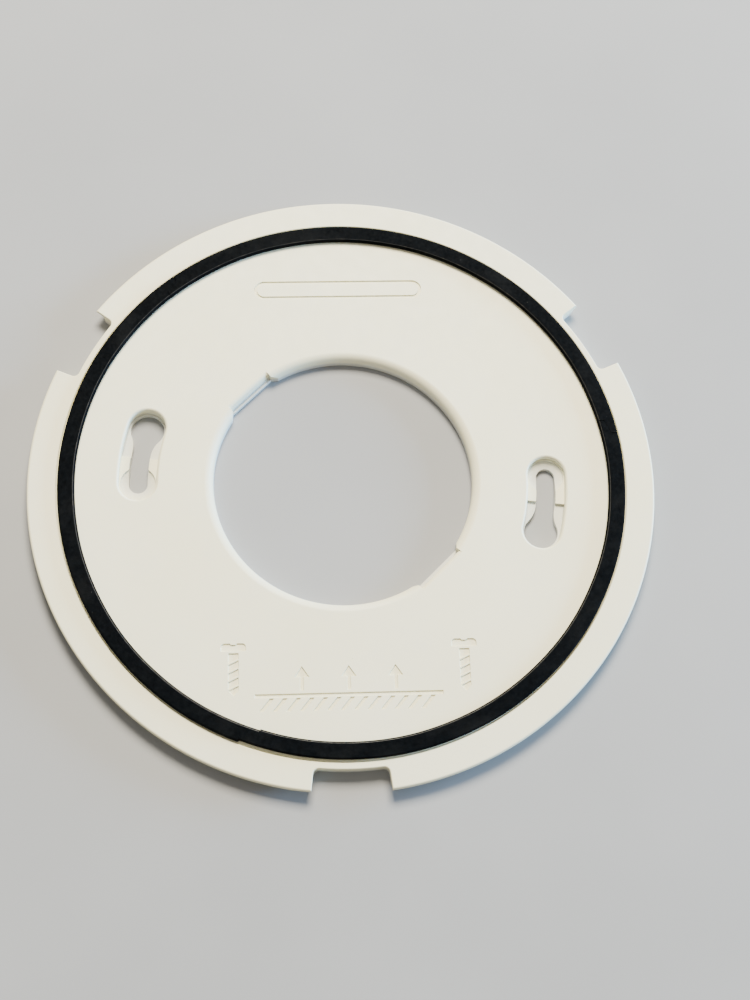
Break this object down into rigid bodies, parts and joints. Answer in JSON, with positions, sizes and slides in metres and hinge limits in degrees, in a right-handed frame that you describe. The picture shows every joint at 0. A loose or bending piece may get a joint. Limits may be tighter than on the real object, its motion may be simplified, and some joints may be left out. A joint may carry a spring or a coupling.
{
  "type": "smoke detector mounting plate",
  "caption": "Round moulded wall plate with a large wire hole, a notched twist-lock flange, keyhole screw slots and a flat foam gasket ring.",
  "frame": {"origin": "centre of the wire hole, on the plane of the back that lies against the wall", "axes": "+Z out of the wall towards the detector; +X through the seats of the keyholes, towards the right-hand one with the marks upright"},
  "size_m": [0.136, 0.1355, 0.0043],
  "materials": {
    "plate": "injection moulded, warm off-white, fine matte texture",
    "foam": "black closed-cell foam, matte, die cut",
    "adhesive": "thin translucent double-sided adhesive film"
  },
  "bodies": {
    "root": {"mounting_plate": "plate", "gasket_segment_1": "foam", "gasket_segment_2": "foam", "gasket_segment_3": "foam", "adhesive_film_1": "adhesive", "adhesive_film_2": "adhesive", "adhesive_film_3": "adhesive"}
  },
  "joints": []
}
